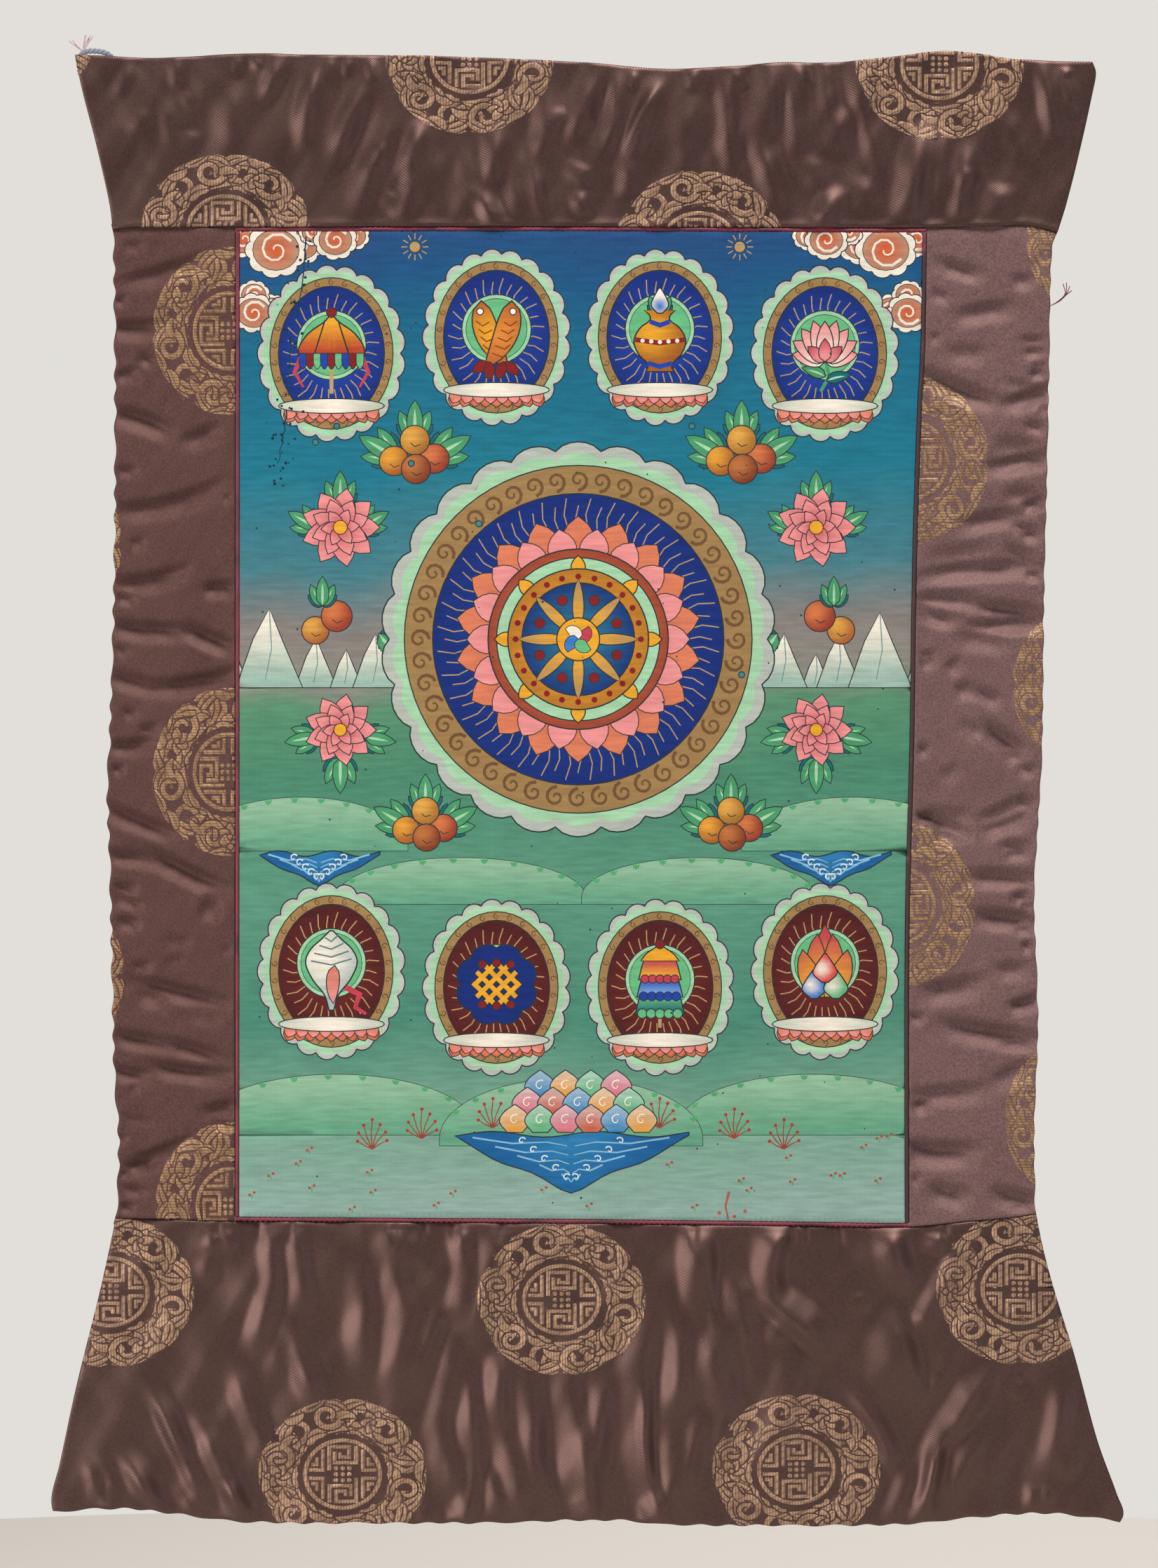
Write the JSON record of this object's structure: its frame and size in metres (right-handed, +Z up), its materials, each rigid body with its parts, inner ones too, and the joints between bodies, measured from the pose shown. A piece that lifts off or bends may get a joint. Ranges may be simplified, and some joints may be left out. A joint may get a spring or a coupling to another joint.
{
  "type": "thangka scroll painting",
  "caption": "Hanging scroll: a painted canvas framed by satin brocade panels with round woven medallions and narrow crimson strips, hung by its top edge.",
  "frame": {"origin": "middle of the top edge, half-way through the thickness of the cloth", "axes": "+Z up, -Y out of the painted face towards the viewer, +X to the viewer's right"},
  "size_m": [0.6009, 0.0119, 0.8396],
  "materials": {
    "satin_brocade": "brown satin weave with a soft sheen and round medallions woven in dull gold thread",
    "painted_canvas": "cotton canvas with a chalk ground, painted in matt blues and greens",
    "crimson_strip": "narrow folded strip of crimson silk",
    "tie_cotton": "flat grey-blue cotton cord, matt, frayed at one end",
    "sewing_thread": "dark crimson sewing thread"
  },
  "bodies": {
    "root": {"painting": "painted_canvas", "strip_top": "crimson_strip", "strip_bottom": "crimson_strip", "strip_left": "crimson_strip", "strip_right": "crimson_strip", "panel_top": "satin_brocade", "panel_bottom": "satin_brocade", "panel_left": "satin_brocade", "panel_right": "satin_brocade", "corner_tie": "tie_cotton", "loose_thread": "sewing_thread"}
  },
  "joints": []
}
